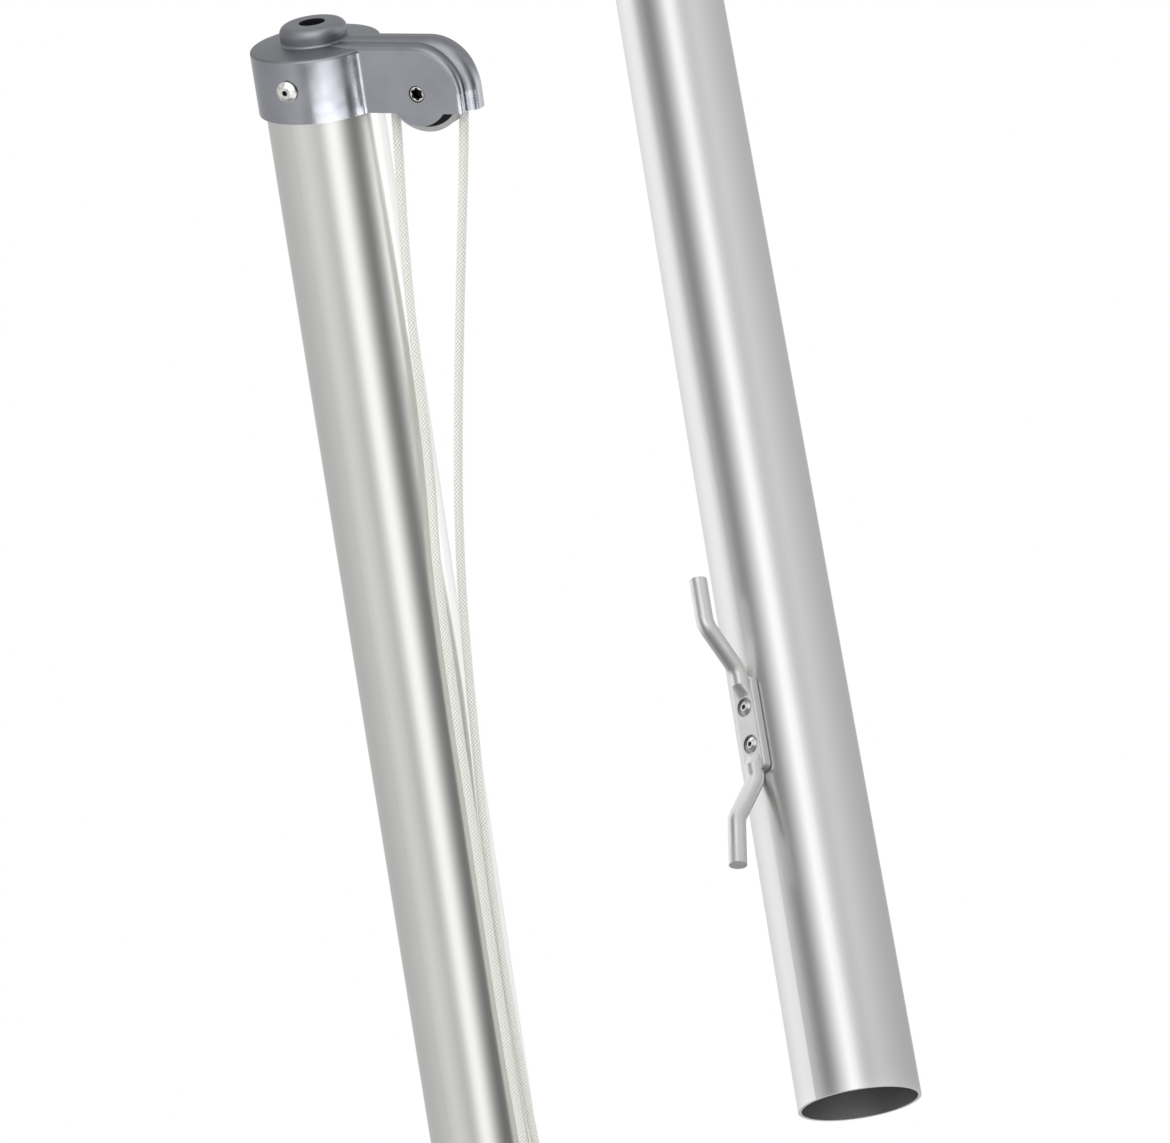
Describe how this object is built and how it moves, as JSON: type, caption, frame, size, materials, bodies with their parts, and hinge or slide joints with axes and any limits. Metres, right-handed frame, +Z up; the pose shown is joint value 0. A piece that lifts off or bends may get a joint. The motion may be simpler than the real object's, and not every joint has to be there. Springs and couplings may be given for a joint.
{
  "type": "flagpole with cap truck, sheave, halyard and cleat",
  "caption": "Straight aluminium tube flagpole with a cast cap truck that holds one rope sheave, a rod cleat near the open foot and a white braided halyard.",
  "frame": {"origin": "centre of the tube's open foot end, in the plane of its end face", "axes": "+Z up along the pole, +X towards the truck's arm and the cleat, Y across the arm"},
  "size_m": [0.1247, 0.0732, 2.4516],
  "materials": {
    "tube_aluminium": "drawn tube, satin",
    "cast_aluminium": "cast and tumbled",
    "cleat_aluminium": "bent rod, satin",
    "sheave_aluminium": "cast wheel with a turned rim",
    "stainless": "stainless screws",
    "halyard_braid": "white braided polyester",
    "strap_webbing": "woven hook-and-loop strap"
  },
  "bodies": {
    "root": {"pole_tube": "tube_aluminium", "truck_body": "cast_aluminium", "axle_bolt": "stainless", "axle_nut": "stainless", "cap_screw_near": "stainless", "cap_screw_far": "stainless", "cleat": "cleat_aluminium", "cleat_screw_upper": "stainless", "cleat_screw_lower": "stainless", "halyard": "halyard_braid", "halyard_hank": "halyard_braid", "halyard_knot": "halyard_braid", "hank_strap": "strap_webbing"},
    "sheave": {"sheave": "sheave_aluminium"}
  },
  "joints": [
    {"name": "sheave_spin", "type": "hinge", "parent": "root", "child": "sheave", "pos_m": [0.0616, 0, 2.41815], "axis": [0, 1, 0], "continuous": true}
  ]
}
